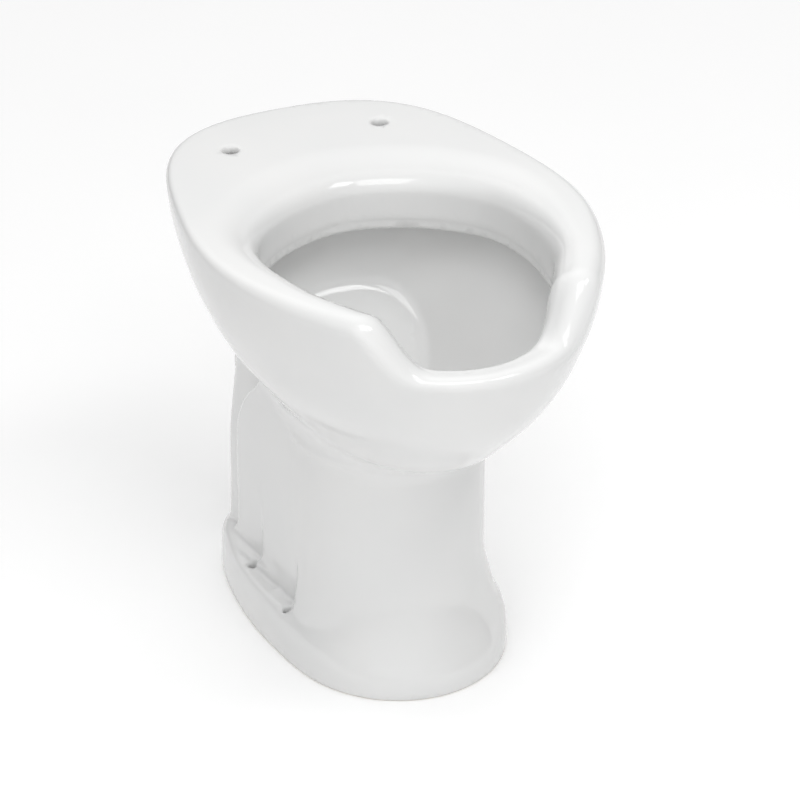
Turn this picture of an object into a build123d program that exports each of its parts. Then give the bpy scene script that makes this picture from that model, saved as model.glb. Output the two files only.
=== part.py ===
from build123d import *
import math
import os

os.makedirs("parts", exist_ok=True)

# ------------------------------------------------------------------
# Floor-standing accessible toilet pan, millimetres, +Z up.
# Front faces -Y. The shape is drawn about the deck centre, then every
# piece moves by SHIFT_Y, so that the origin is at floor level under the
# centre of the whole pan's box.
# ------------------------------------------------------------------

# Overall size
HEIGHT = 450.0            # floor to deck
HALF_WIDTH = 185.0        # deck half width
HALF_LENGTH = 260.0       # deck half length
SHIFT_Y = -5.0            # deck centre to the centre of the whole box
DECK_T = 10.0             # deck plate thickness
WALL = 9.0                # general casting wall
DECK_UNDER = HEIGHT - DECK_T

# Seat holes in the rear deck
SEAT_SPACING = 155.0
SEAT_Y = 184.0
SEAT_R = 8.0

# Lowered front lip
LIP_Z = 400.0             # top of the lip
STEP_CY = -110.0          # centre that the two steps turn about
STEP_A0 = 28.0            # degrees from the front: foot of the step
STEP_A1 = 57.0            # degrees from the front: head of the step

# Hollow rim
RIM_BOTTOM = 386.0
FLOOR_T = 8.0
CHANNEL_W = 39.0          # width of the flush channel
WASH_HOLE_R = 3.5

# Pedestal
COL_HALF_WIDTH = 93.0
COL_FRONT = -95.0
COL_REAR = 158.0
CASE_REAR = 208.0
CASE_HALF_LOW = 84.0
CASE_HALF_HIGH = 72.0
FLARE_TOP = 105.0
FOOT_SPLIT = 62.0         # height where the foot section meets the pedestal
SIDE_SPLIT_Y = 20.0       # where the side walls meet the front column
BASIN_CUT = 262.0         # below this the basin stands inside the column
BASIN_GAP = 1.5

# Floor fixing
FIX_X = 102.0
FIX_Y = (92.0, 5.0)
FIX_R = 4.5

# Sump and trap
SUMP_Y = -12.0
TRAP_R_OUT = 44.0
TRAP_R_IN = 36.0
TRAP_TOP_Z = 170.0
TRAP_LOW_Z = 100.0
TRAP_BEND = 48.0
TRAP_LEG_Y = 84.0
CREST_Z = 195.0
OUTLET_Z = 185.0
OUTLET_R = 51.0
OUTLET_R_IN = 42.0
OUTLET_FRONT = 220.0
OUTLET_END = 256.0

# Flush inlet
INLET_Z = 407.5
INLET_R_OUT = 32.5
INLET_R_IN = 27.5
INLET_FRONT = 200.0
INLET_END = 246.0
NECK_Z = 417.0
NECK_R_OUT = 23.0
NECK_R_IN = 17.0
PIPE_R = 22.5             # flush pipe that the rubber cone holds

# Half outline of the deck, from the rear centre to the front centre (x, y)
DECK = [
    (0, 260), (26.5, 259.2), (53, 255.6), (78.6, 247.8), (102.1, 234.8), (121.8, 216.8),
    (137.1, 195.1), (148.3, 171.8), (156.6, 148.4), (163, 125.5), (168.5, 103.2),
    (173.4, 80.8), (178, 58), (181.8, 34), (184.3, 8.6), (185, -18.5), (182.5, -47.2),
    (176.3, -77.2), (166.2, -108.2), (152.3, -140.4), (133.6, -173.4), (109.2, -205.6),
    (78.2, -233.7), (41, -253.2), (0, -260),
]

# Half outline of the bowl opening (inner face of the rim wall)
OPENING = [
    (0, 95.5), (20, 93.4), (39.6, 87.5), (58, 79.5), (75, 69.5), (91, 57), (104.7, 43.5),
    (115.5, 29), (123, 12), (127.5, -8), (129.3, -31), (128.6, -52), (126.5, -71), (123, -91),
    (116.8, -110.5), (108.5, -127), (99.3, -143), (89.5, -159), (77.5, -173.5), (62.5, -186.8),
    (45.5, -199.3), (26.2, -208.8), (12, -212.6), (0, -213.3),
]

# Half outline of the foot at the floor
BASE = [
    (0, 222), (30, 222), (56, 221), (73, 217), (84, 209), (92.5, 196), (101, 176), (107.5, 151),
    (111.7, 127), (114.1, 107), (115.6, 89), (116.4, 72.5), (116.6, 57), (116.1, 41),
    (115, 26), (113.6, 11), (111.9, -5), (109.6, -22), (105.9, -40), (99.9, -59),
    (90.9, -77), (78.3, -94), (62.3, -109), (43.3, -120), (22.2, -127.5), (0, -130),
]

# Outer bowl: z, half width, front y, rear y
BOWL = [
    (440.0, 185.0, -260.0, 260.0),
    (424.0, 184.6, -256.0, 252.5),
    (400.0, 180.3, -251.0, 242.5),
    (370.0, 169.3, -241.0, 227.5),
    (340.0, 154.0, -228.5, 210.5),
    (310.0, 132.4, -208.8, 198.0),
    (285.0, 113.4, -185.0, 187.0),
    (265.0, 99.7, -165.0, 176.5),
    (250.0, 89.9, -150.0, 168.0),
    (236.0, 80.5, -131.0, 158.0),
    (224.0, 68.0, -104.0, 144.0),
]

# Inner bowl, wet face: z, half width, front y, rear y
BASIN = [
    (386.0, 150.0, -228.0, 128.0),
    (365.0, 147.5, -220.5, 125.0),
    (340.0, 134.0, -209.0, 120.0),
    (315.0, 115.5, -193.0, 112.0),
    (295.0, 100.5, -174.0, 96.0),
    (278.0, 87.0, -152.0, 75.0),
    (265.0, 74.0, -128.0, 57.0),
    (256.0, 60.0, -100.0, 42.0),
    (246.0, 49.0, -76.0, 33.0),
    (230.0, 44.0, -62.0, 29.0),
    (200.0, 40.0, -53.0, 27.0),
    (170.0, 36.0, -48.0, 24.0),
]


# ------------------------------------------------------------------
# Outline helpers
# ------------------------------------------------------------------
def closed(half):
    """Mirror a half outline (rear to front) into a closed ring of points."""
    right = list(half)
    left = [(-x, y) for x, y in half[-2:0:-1]]
    return right + left


def catmull(points, n):
    """Resample a closed ring evenly by arc length through a smooth curve."""
    m = len(points)
    dense = []
    for i in range(m):
        p0, p1, p2, p3 = (points[(i + k - 1) % m] for k in range(4))
        for s in range(12):
            t = s / 12.0
            dense.append(tuple(
                0.5 * (2 * p1[c] + (p2[c] - p0[c]) * t
                       + (2 * p0[c] - 5 * p1[c] + 4 * p2[c] - p3[c]) * t * t
                       + (3 * p1[c] - p0[c] - 3 * p2[c] + p3[c]) * t ** 3)
                for c in (0, 1)))
    run = [0.0]
    for i in range(len(dense)):
        a, b = dense[i], dense[(i + 1) % len(dense)]
        run.append(run[-1] + math.dist(a, b))
    out = []
    j = 0
    for k in range(n):
        want = run[-1] * k / n
        while run[j + 1] < want:
            j += 1
        t = (want - run[j]) / (run[j + 1] - run[j])
        a, b = dense[j], dense[(j + 1) % len(dense)]
        out.append((a[0] + (b[0] - a[0]) * t, a[1] + (b[1] - a[1]) * t))
    return out


def offset_ring(ring, d):
    """Move every point of a clockwise ring outward by d."""
    m = len(ring)
    out = []
    for i in range(m):
        ax, ay = ring[i - 1]
        bx, by = ring[(i + 1) % m]
        tx, ty = bx - ax, by - ay
        s = math.hypot(tx, ty)
        out.append((ring[i][0] - ty / s * d, ring[i][1] + tx / s * d))
    return out


def symmetric(ring):
    """Average a ring with its mirror image, so both halves agree exactly."""
    m = len(ring)
    out = []
    for i in range(m):
        x, y = ring[i]
        mx, my = ring[(m - i) % m]
        out.append(((x - mx) / 2, (y + my) / 2))
    return out


def wire_at(ring, z):
    return Wire([Edge.make_spline([Vector(x, y, z) for x, y in ring], periodic=True)])


def face_at(ring, z):
    return Face(wire_at(ring, z))


def prism(ring, z0, z1):
    return extrude(face_at(ring, z0), amount=z1 - z0, dir=(0, 0, 1))


N = 40
DECK_RING = symmetric(catmull(closed(DECK), N))
OPEN_RING = symmetric(catmull(closed(OPENING), N))
BASE_RING = symmetric(catmull(closed(BASE), N))


def bowl_ring(w, front, rear, grow=0.0):
    """The deck outline scaled to a half width, front and rear, then offset."""
    w, front, rear = w + grow, front - grow, rear + grow
    mid, half = (rear + front) / 2, (rear - front) / 2
    return [(x / HALF_WIDTH * w, mid + y / HALF_LENGTH * half) for x, y in DECK_RING]


def loft_rows(rows, grow=0.0):
    wires = [wire_at(bowl_ring(w, f, r, grow), z) for z, w, f, r in rows]
    return Solid.make_loft(wires[::-1])


ANGLES = [2 * math.pi * k / 48 for k in range(48)]


def radius_at(ring, ang, pivot_y):
    """Distance from a pivot on the centre line to a ring, along a direction."""
    best = None
    m = len(ring)
    dx, dy = math.sin(ang), math.cos(ang)
    for i in range(m):
        ax, ay = ring[i][0], ring[i][1] - pivot_y
        bx, by = ring[(i + 1) % m][0], ring[(i + 1) % m][1] - pivot_y
        ca = dx * ay - dy * ax
        cb = dx * by - dy * bx
        if ca * cb <= 0 and ca != cb:
            t = ca / (ca - cb)
            px, py = ax + (bx - ax) * t, ay + (by - ay) * t
            d = px * dx + py * dy
            if d > 0 and (best is None or d > best):
                best = d
    return best


def bowl_row(z):
    """Half width, front and rear of the outer bowl at a height."""
    for high, low in zip(BOWL, BOWL[1:]):
        if low[0] <= z <= high[0]:
            t = (z - low[0]) / (high[0] - low[0])
            return [low[c] + (high[c] - low[c]) * t for c in (1, 2, 3)]
    return None


def basin_rings(z, w, front, rear):
    """Outer and inner ring of the basin at a height, kept inside the shell."""
    pivot = (front + rear) / 2
    own = catmull(bowl_ring(w, front, rear, WALL), 240)
    limit = catmull(bowl_ring(*bowl_row(z), -WALL - BASIN_GAP), 240) if z > BASIN_CUT else None
    ring = []
    for a in ANGLES:
        d = radius_at(own, a, pivot)
        if limit is not None:
            e = radius_at(limit, a, pivot)
            # the smaller of the two, eased where they cross
            h = max(0.0, 8.0 - abs(d - e)) / 8.0
            d = min(d, e) - h * h * 2.0
        ring.append((d * math.sin(a), pivot + d * math.cos(a)))
    ring = symmetric(ring)
    return ring, offset_ring(ring, -WALL)


def box(x0, x1, y0, y1, z0, z1):
    return Pos((x0 + x1) / 2, (y0 + y1) / 2, (z0 + z1) / 2) * Box(x1 - x0, y1 - y0, z1 - z0)


def rod(r, start, end):
    """Round bar between two points."""
    a, b = Vector(*start), Vector(*end)
    axis = b - a
    return Solid.make_cylinder(r, axis.length, Plane(origin=a, z_dir=axis))


def keep(shape):
    """The largest solid of a result, as a plain solid."""
    return max(shape.solids(), key=lambda s: s.volume)


def write(shape, node):
    shape = Pos(0, SHIFT_Y, 0) * shape
    export_step(shape, "parts/" + node + ".step")
    print(node, "solids", len(shape.solids()), "volume", round(shape.volume),
          "valid", shape.is_valid)


# ------------------------------------------------------------------
# Solids that shape several pieces
# ------------------------------------------------------------------
outer = loft_rows(BOWL)
outer_in = loft_rows(BOWL, grow=-WALL)
outer_top = prism(bowl_ring(185.0, -260.0, 260.0), 440.0, HEIGHT)
opening = prism(OPEN_RING, 300.0, HEIGHT + 20)
opening_wall = prism(offset_ring(OPEN_RING, WALL), 300.0, HEIGHT + 20)

# Wedge that holds the lowered front, from the step centre forward
a1 = math.radians(STEP_A1)
reach = 260.0
wedge = extrude(
    Polygon((0, STEP_CY), (-reach * math.sin(a1), STEP_CY - reach * math.cos(a1)),
            (0, STEP_CY - reach * 1.6), (reach * math.sin(a1), STEP_CY - reach * math.cos(a1)),
            align=None),
    amount=300.0)
wedge = Pos(0, 0, 250) * wedge


def lip_height(deg):
    """Deck height by the angle from the front, an S between lip and deck."""
    t = (abs(deg) - STEP_A0) / (STEP_A1 - STEP_A0)
    t = min(1.0, max(0.0, t))
    return LIP_Z + (HEIGHT - LIP_Z) * t * t * (3 - 2 * t)


def dip_surface(drop):
    """Surface that follows the dipped front edge, drop mm below its top."""
    rows = []
    for radius in (20.0, 90.0, 160.0, 230.0):
        row = []
        for k in range(-21, 22):
            deg = k * 3.0
            a = math.radians(deg)
            row.append(Vector(radius * math.sin(a), STEP_CY - radius * math.cos(a),
                              lip_height(deg) - drop))
        rows.append(row)
    return Face.make_surface_from_array_of_points(rows, tol=0.05)


above_dip = extrude(dip_surface(0.0), amount=120.0, dir=(0, 0, 1))
above_under = extrude(dip_surface(DECK_T), amount=120.0, dir=(0, 0, 1))
under_dip = extrude(dip_surface(DECK_T), amount=-200.0, dir=(0, 0, 1))

# ------------------------------------------------------------------
# Rim: deck plate and inner wall, one section
# ------------------------------------------------------------------
plate = outer_top - opening
try:
    edges_top = plate.edges().filter_by(lambda e: abs(e.center().Z - HEIGHT) < 0.01)
    edges_top = sorted(edges_top, key=lambda e: e.length)
    plate = fillet(edges_top[-1:], 5.0)
except Exception as error:
    print("outer rim fillet left out:", error)
rim_wall = prism(offset_ring(OPEN_RING, WALL), RIM_BOTTOM, DECK_UNDER + 0.0) - opening
rim = plate + rim_wall
try:
    inner = [e for e in rim.edges() if abs(e.center().Z - HEIGHT) < 0.01]
    inner = sorted(inner, key=lambda e: e.length)[:1]
    rim = fillet(inner, 15.0)
except Exception as error:
    print("inner rim fillet left out:", error)
rim = rim - wedge
for side in (-1, 1):
    rim = rim - rod(SEAT_R, (side * SEAT_SPACING / 2, SEAT_Y, 430), (side * SEAT_SPACING / 2, SEAT_Y, 460))
rim = keep(rim)
write(rim, "rim")

# ------------------------------------------------------------------
# Lowered front lip with its two steps
# ------------------------------------------------------------------
crown = (outer & box(-200, 200, -270, 0, 380, 440)) + (outer_top & box(-200, 200, -270, 0, 440, 450))
lip = (crown & wedge) - opening
lip = lip - above_dip
lip = lip - box(-200, 200, -270, 0, 370, RIM_BOTTOM)
outside_wall = prism(bowl_ring(200, -280, 280), 300, 460) - opening_wall
lip = lip - (outside_wall & under_dip)
lip = keep(lip)
write(lip, "front_lip")

# ------------------------------------------------------------------
# Bowl shell: outer skin below the deck
# ------------------------------------------------------------------
column_in_ring_half = [
    (0, 149), (60, 149), (76, 146), (83, 138), (84, 125), (84, 90), (84, 40), (84, -2), (81, -24),
    (72.7, -44), (59.4, -61.4), (42, -74.7), (21.7, -83), (0, -86),
]
COL_IN_RING = symmetric(catmull(closed(column_in_ring_half), N))
shell = outer - outer_in
shell = shell - (above_under & wedge)
shell = shell - prism(COL_IN_RING, 200, BASIN_CUT)
# Open back: wide under the deck to reach the seat fixings, narrower below
window = Wire([Edge.make_spline([Vector(x, 120, z) for x, z in
                                 [(-58, 200), (-58, 300), (-66, 335), (-92, 372), (-98, 404), (-91, 430), (-74, 440)]]),
               Edge.make_line(Vector(-74, 120, 440), Vector(74, 120, 440)),
               Edge.make_spline([Vector(x, 120, z) for x, z in
                                 [(74, 440), (91, 430), (98, 404), (92, 372), (66, 335), (58, 300), (58, 200)]]),
               Edge.make_line(Vector(58, 120, 200), Vector(-58, 120, 200))])
rear_window = extrude(Face(window), amount=170.0, dir=(0, 1, 0))
shell = shell - rear_window
shell = keep(shell)
write(shell, "bowl_shell")

# ------------------------------------------------------------------
# Basin with its sump
# ------------------------------------------------------------------
# It stands just inside the shell at the front and sides, and well clear of
# it at the rear. Its sump goes down inside the column.
pairs = [(row[0], basin_rings(*row)) for row in BASIN][::-1]
basin_out = Solid.make_loft([wire_at(p[0], z) for z, p in pairs], ruled=True)
basin_in = Solid.make_loft([wire_at(p[1], z) for z, p in pairs], ruled=True)
basin = keep(basin_out - basin_in)
write(basin, "basin")

# ------------------------------------------------------------------
# Rim channel floor with wash holes, and the wall behind the channel
# ------------------------------------------------------------------
J_IN = offset_ring(OPEN_RING, WALL + CHANNEL_W)
J_OUT = offset_ring(OPEN_RING, WALL + CHANNEL_W + WALL)
inside_shell = outer_in
channel_outer = prism(J_OUT, RIM_BOTTOM, DECK_UNDER)
floor = (prism(J_OUT, RIM_BOTTOM, RIM_BOTTOM + FLOOR_T) & inside_shell) - opening_wall - wedge
for k in range(-11, 12):
    a = math.radians(k * 11.5)
    # wash holes run just outside the rim wall, round the opening
    cx, cy = 0.0, -40.0
    best = min(offset_ring(OPEN_RING, WALL + 9.0),
               key=lambda p: abs(math.atan2(p[0] - cx, p[1] - cy) - a))
    floor = floor - rod(WASH_HOLE_R, (best[0], best[1], 380), (best[0], best[1], 400))
floor = keep(floor)
write(floor, "rim_channel_floor")

rear_wall = prism(J_OUT, RIM_BOTTOM + FLOOR_T, DECK_UNDER) - prism(J_IN, RIM_BOTTOM, DECK_UNDER + 5)
rear_wall = (rear_wall & inside_shell) & box(-200, 200, 0, 280, 380, 450)
rear_wall = rear_wall - rod(NECK_R_IN, (0, 100, NECK_Z), (0, 200, NECK_Z))
rear_wall = keep(rear_wall)
write(rear_wall, "channel_rear_wall")

# Deflector: a low wedge on the channel floor facing the neck
deflector = extrude(Polygon((-26, 113), (26, 113), (0, 133), align=None), amount=34.0)
deflector = Pos(0, 0, RIM_BOTTOM + FLOOR_T) * deflector
deflector = keep(deflector - opening_wall)
write(deflector, "flush_deflector")

# ------------------------------------------------------------------
# Flush inlet: neck from the channel, socket for the pipe
# ------------------------------------------------------------------
neck = rod(NECK_R_OUT, (0, 140, NECK_Z), (0, INLET_FRONT, NECK_Z)) - channel_outer
socket = rod(INLET_R_OUT, (0, INLET_FRONT - 6, INLET_Z), (0, INLET_END, INLET_Z))
inlet = neck + socket
inlet = inlet - rod(NECK_R_IN, (0, 130, NECK_Z), (0, INLET_FRONT + 1, NECK_Z))
inlet = inlet - rod(INLET_R_IN, (0, INLET_FRONT, INLET_Z), (0, INLET_END + 5, INLET_Z))
inlet = keep(inlet)
write(inlet, "flush_inlet")

# Rubber cone pressed into the socket, with a lip outside it
seal = rod(INLET_R_IN, (0, INLET_END - 26, INLET_Z), (0, INLET_END, INLET_Z))
seal = seal + rod(INLET_R_IN + 3.5, (0, INLET_END, INLET_Z), (0, INLET_END + 5, INLET_Z))
seal = seal - rod(PIPE_R, (0, INLET_END - 30, INLET_Z), (0, INLET_END + 10, INLET_Z))
write(keep(seal), "inlet_seal")

# ------------------------------------------------------------------
# Trapway: down from the sump, round, over the weir and out to the rear
# ------------------------------------------------------------------
drop_a = math.acos((OUTLET_Z - CREST_Z + TRAP_BEND) / (2 * TRAP_BEND))
ycrest = TRAP_LEG_Y + TRAP_BEND
y0 = SUMP_Y
p_low = TRAP_LOW_Z + TRAP_BEND


def yz(y, z):
    return Vector(0, y, z)


def arc3(center, r, a_start, a_end):
    """Arc in the YZ plane, angles in degrees from +Y towards +Z."""
    pts = []
    for k in range(3):
        a = math.radians(a_start + (a_end - a_start) * k / 2)
        pts.append(yz(center[0] + r * math.cos(a), center[1] + r * math.sin(a)))
    return Edge.make_three_point_arc(*pts)


crest_end = 90 - math.degrees(drop_a)
yc_end = ycrest + TRAP_BEND * math.sin(drop_a)
zc_end = CREST_Z + TRAP_BEND * math.cos(drop_a)
out_c = (ycrest + 2 * TRAP_BEND * math.sin(drop_a), OUTLET_Z + TRAP_BEND)
path_edges = [
    Edge.make_line(yz(y0, TRAP_TOP_Z), yz(y0, p_low)),
    arc3((y0 + TRAP_BEND, p_low), TRAP_BEND, 180, 270),
]
if TRAP_LEG_Y - TRAP_BEND - (y0 + TRAP_BEND) > 0.01:
    path_edges.append(Edge.make_line(yz(y0 + TRAP_BEND, TRAP_LOW_Z), yz(TRAP_LEG_Y - TRAP_BEND, TRAP_LOW_Z)))
path_edges += [
    arc3((TRAP_LEG_Y - TRAP_BEND, p_low), TRAP_BEND, 270, 360),
    Edge.make_line(yz(TRAP_LEG_Y, p_low), yz(TRAP_LEG_Y, CREST_Z)),
    arc3((ycrest, CREST_Z), TRAP_BEND, 180, crest_end),
    arc3(out_c, TRAP_BEND, crest_end + 180, 270),
]
trap_end_y = out_c[0]
print("trapway ends at y", round(trap_end_y, 2), "outlet front", OUTLET_FRONT)


def tube(r):
    pieces = None
    for e in path_edges:
        start = e @ 0
        direction = e % 0
        section = Face(Wire([Edge.make_circle(r, Plane(origin=start, z_dir=direction))]))
        part = sweep(section, path=Wire([e]))
        pieces = part if pieces is None else pieces + part
    return pieces


trap_out = tube(TRAP_R_OUT)
trap_in = tube(TRAP_R_IN)
trapway = trap_out - trap_in
if trap_end_y < OUTLET_FRONT:
    ext = rod(TRAP_R_OUT, (0, trap_end_y, OUTLET_Z), (0, OUTLET_FRONT, OUTLET_Z)) - \
        rod(TRAP_R_IN, (0, trap_end_y - 1, OUTLET_Z), (0, OUTLET_FRONT + 1, OUTLET_Z))
    trapway = trapway + ext
trapway = keep(trapway)
# Two cast sections, parted across the riser just above the bend
upper_room = box(-60, 60, (SUMP_Y + TRAP_LEG_Y) / 2, 300, p_low, 300)
write(keep(trapway - upper_room), "trap_bend")
write(keep(trapway & upper_room), "trap_weir")

spigot_front = max(OUTLET_FRONT, trap_end_y)
spigot = rod(OUTLET_R, (0, spigot_front, OUTLET_Z), (0, OUTLET_END, OUTLET_Z))
spigot = spigot - rod(TRAP_R_IN, (0, spigot_front - 1, OUTLET_Z), (0, spigot_front + 7, OUTLET_Z))
spigot = spigot - rod(OUTLET_R_IN, (0, spigot_front + 6, OUTLET_Z), (0, OUTLET_END + 1, OUTLET_Z))
write(keep(spigot), "outlet_spigot")

# ------------------------------------------------------------------
# Pedestal and foot: column, rear casing, flare
# ------------------------------------------------------------------
column_half = [
    (0, COL_REAR), (60, COL_REAR), (79, COL_REAR - 2.5), (90, COL_REAR - 10), (93, COL_REAR - 24),
    (93, 100), (93, 60), (93, 20), (93, -2), (89.8, -26), (80.5, -48.5), (65.8, -67.8),
    (46.5, -82.5), (24, -91.8), (0, COL_FRONT),
]
COL_RING = catmull(closed(column_half), 360)
BASE_DENSE = catmull(closed(BASE), 360)
PIVOT = (0.0, 45.0)
COL_POL = [radius_at(COL_RING, a, PIVOT[1]) for a in ANGLES]
BASE_POL = [radius_at(BASE_DENSE, a, PIVOT[1]) for a in ANGLES]


def flare_ring(k, inset=0.0):
    ring = []
    for a, rc, rb in zip(ANGLES, COL_POL, BASE_POL):
        r = rc + (rb - rc) * k
        ring.append((PIVOT[0] + r * math.sin(a), PIVOT[1] + r * math.cos(a)))
    if inset:
        ring = offset_ring(ring, -inset)
    return symmetric(ring)


# z, how far the outline has moved from the column (0) to the floor outline (1)
FLARE = [
    (0.0, 0.985), (9.0, 1.02), (20.0, 1.02), (34.0, 0.80), (50.0, 0.52), (66.0, 0.28),
    (84.0, 0.09), (FLARE_TOP, 0.0),
]
flare = [wire_at(flare_ring(k), z) for z, k in FLARE]
col_out = Solid.make_loft(flare, ruled=True) + prism(flare_ring(0.0), FLARE_TOP, 268.0)
col_in_rows = [(-4.0, 0.985), (10.0, 1.0), (24.0, 0.80), (42.0, 0.46), (58.0, 0.18), (76.0, 0.0)]
col_in = Solid.make_loft([wire_at(flare_ring(k, WALL + 1.0), z) for z, k in col_in_rows], ruled=True)
col_in = col_in + prism(flare_ring(0.0, WALL + 1.0), 76.0, 276.0)

# Arched rear top corner of the side panels, cut through along X
arch_pts = [(84, 262), (100, 241), (116, 227), (130, 211), (140, 192), (147, 170), (152, 140), (154, 100)]
arch_wire = [Vector(-120, y, z) for y, z in arch_pts]
arch_edge = Edge.make_spline(arch_wire)
arch_face = Face(Wire([
    arch_edge,
    Edge.make_line(arch_wire[-1], Vector(-120, 154, 90)),
    Edge.make_line(Vector(-120, 154, 90), Vector(-120, 240, 90)),
    Edge.make_line(Vector(-120, 240, 90), Vector(-120, 240, 300)),
    Edge.make_line(Vector(-120, 240, 300), Vector(-120, 84, 300)),
    Edge.make_line(Vector(-120, 84, 300), arch_wire[0]),
]))
arch_cut = extrude(arch_face, amount=240.0, dir=(1, 0, 0))


def case_ring(half, inset=0.0, front=40.0):
    r = 24.0 - inset
    h, rear = half - inset, CASE_REAR - inset
    pts = [(0, rear), (h * 0.35, rear), (h - r, rear)]
    for k in range(1, 4):
        a = math.radians(90 - 22.5 * k)
        pts.append((h - r + r * math.cos(a), rear - r + r * math.sin(a)))
    pts += [(h, rear - r), (h, rear - r - 40), (h, front + 30), (h - 10, front + 6), (h - 30, front), (0, front)]
    return symmetric(catmull(closed(pts), 48))


CASE = [(0.0, 88.0), (40.0, 86.0), (90.0, CASE_HALF_LOW), (130.0, CASE_HALF_LOW), (190.0, 79.0), (240.0, CASE_HALF_HIGH), (300.0, 64.0)]
case_out = Solid.make_loft([wire_at(case_ring(h), z) for z, h in CASE], ruled=True)
case_in = Solid.make_loft([wire_at(case_ring(h, WALL), z if z > 0 else -4.0) for z, h in CASE], ruled=True)

body_out = (col_out - arch_cut) + case_out
body_in = (col_in - (Pos(0, -WALL, -WALL) * arch_cut)) + case_in
rear_mouth = box(-58, 58, 120, 260, -5, 320)
shell_body = body_out - body_in - rear_mouth


# Recess and boss at each floor fixing
def lean(side, y, r):
    return rod(r, (side * (FIX_X - 2), y, 40.0), (side * (FIX_X + 5.5), y, 122.0))


bosses = None
scoops = None
for side in (-1, 1):
    for y in FIX_Y:
        b = rod(12.0, (side * FIX_X, y, 0.0), (side * FIX_X, y, 52.0)) + (lean(side, y, 22.0))
        bosses = b if bosses is None else bosses + b
        s = lean(side, y, 14.0) & box(-140, 140, -60, 160, 48.0, 130.0)
        scoops = s if scoops is None else scoops + s
bosses = bosses & body_out
shell_body = shell_body + bosses
shell_body = shell_body - scoops
for side in (-1, 1):
    for y in FIX_Y:
        shell_body = shell_body - rod(FIX_R, (side * FIX_X, y, -2), (side * FIX_X, y, 70))
shell_body = shell_body & box(-150, 150, -150, 255, 0, 300)

foot = keep(shell_body & box(-150, 150, -150, 255, 0, FOOT_SPLIT))
write(foot, "foot")

upper = (shell_body & box(-150, 150, -150, 255, FOOT_SPLIT, 300)) - outer
front = keep(upper & box(-150, 150, -150, SIDE_SPLIT_Y, FOOT_SPLIT, 300))
write(front, "pedestal_front")
left = keep(upper & box(-150, 0, SIDE_SPLIT_Y, 255, FOOT_SPLIT, 300))
right = keep(upper & box(0, 150, SIDE_SPLIT_Y, 255, FOOT_SPLIT, 300))
write(left, "pedestal_side_left")
write(right, "pedestal_side_right")

# Web under the trap, cradling its bend between the side walls
web = box(-120, 120, 30, 42, FOOT_SPLIT - 30, 96)
web = (web & body_in) - trap_out - bosses
web = keep(web)
write(web, "trap_web")
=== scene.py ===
import math

import bpy
import numpy as np
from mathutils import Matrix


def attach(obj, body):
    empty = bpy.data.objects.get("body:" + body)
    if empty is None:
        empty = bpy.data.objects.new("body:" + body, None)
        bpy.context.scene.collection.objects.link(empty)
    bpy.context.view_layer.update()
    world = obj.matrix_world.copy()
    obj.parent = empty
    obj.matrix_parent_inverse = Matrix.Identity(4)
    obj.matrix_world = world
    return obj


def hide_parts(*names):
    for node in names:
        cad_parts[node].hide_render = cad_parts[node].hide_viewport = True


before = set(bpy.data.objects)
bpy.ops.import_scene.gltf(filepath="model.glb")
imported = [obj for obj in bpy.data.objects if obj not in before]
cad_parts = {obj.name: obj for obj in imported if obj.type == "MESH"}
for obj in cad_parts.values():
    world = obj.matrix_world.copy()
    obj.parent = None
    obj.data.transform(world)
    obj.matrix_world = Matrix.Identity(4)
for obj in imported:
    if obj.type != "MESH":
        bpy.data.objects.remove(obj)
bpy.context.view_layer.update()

import openvdb
from mathutils import Matrix, Vector

# ------------------------------------------------------------------
# The glazed casting is one smooth skin. It is worked out as a field of
# signed distances in millimetres, drawn about the deck centre, on one
# half of the pan, then mirrored and meshed.
# ------------------------------------------------------------------
H = 1.8                    # grid step
SHIFT_Y = -5.0             # deck centre to the centre of the whole box
TOP = 450.0
DECK_T = 10.0
WALL = 9.0
LIP_Z = 400.0
STEP_CY = -110.0
RIM_BOTTOM = 386.0

gx = (np.arange(0, int(191 / H) + 2) * H).astype(np.float32)
gy = (np.arange(0, int(530 / H) + 2) * H - 266.0).astype(np.float32)
gz = (np.arange(0, int(462 / H) + 2) * H - 6.3).astype(np.float32)
X = gx[:, None, None]
Y = gy[None, :, None]
Z = gz[None, None, :]

DECK = [
    (0, 260), (26.5, 259.2), (53, 255.6), (78.6, 247.8), (102.1, 234.8), (121.8, 216.8),
    (137.1, 195.1), (148.3, 171.8), (156.6, 148.4), (163, 125.5), (168.5, 103.2),
    (173.4, 80.8), (178, 58), (181.8, 34), (184.3, 8.6), (185, -18.5), (182.5, -47.2),
    (176.3, -77.2), (166.2, -108.2), (152.3, -140.4), (133.6, -173.4), (109.2, -205.6),
    (78.2, -233.7), (41, -253.2), (0, -260),
]
OPENING = [
    (0, 95.5), (20, 93.4), (39.6, 87.5), (58, 79.5), (75, 69.5), (91, 57), (104.7, 43.5),
    (115.5, 29), (123, 12), (127.5, -8), (129.3, -31), (128.6, -52), (126.5, -71), (123, -91),
    (116.8, -110.5), (108.5, -127), (99.3, -143), (89.5, -159), (77.5, -173.5), (62.5, -186.8),
    (45.5, -199.3), (26.2, -208.8), (12, -212.6), (0, -213.3),
]
BASE = [
    (0, 222), (30, 222), (56, 221), (73, 217), (84, 209), (92.5, 196), (101, 176), (107.5, 151),
    (111.7, 127), (114.1, 107), (115.6, 89), (116.4, 72.5), (116.6, 57), (116.1, 41),
    (115, 26), (113.6, 11), (111.9, -5), (109.6, -22), (105.9, -40), (99.9, -59),
    (90.9, -77), (78.3, -94), (62.3, -109), (43.3, -120), (22.2, -127.5), (0, -130),
]
COLUMN = [
    (0, 164), (60, 164), (82, 162), (91, 155.5), (93, 144),
    (93, 100), (93, 60), (93, 20), (93, -2), (89.8, -26), (80.5, -48.5), (65.8, -67.8),
    (46.5, -82.5), (24, -91.8), (0, -95),
]
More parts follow.
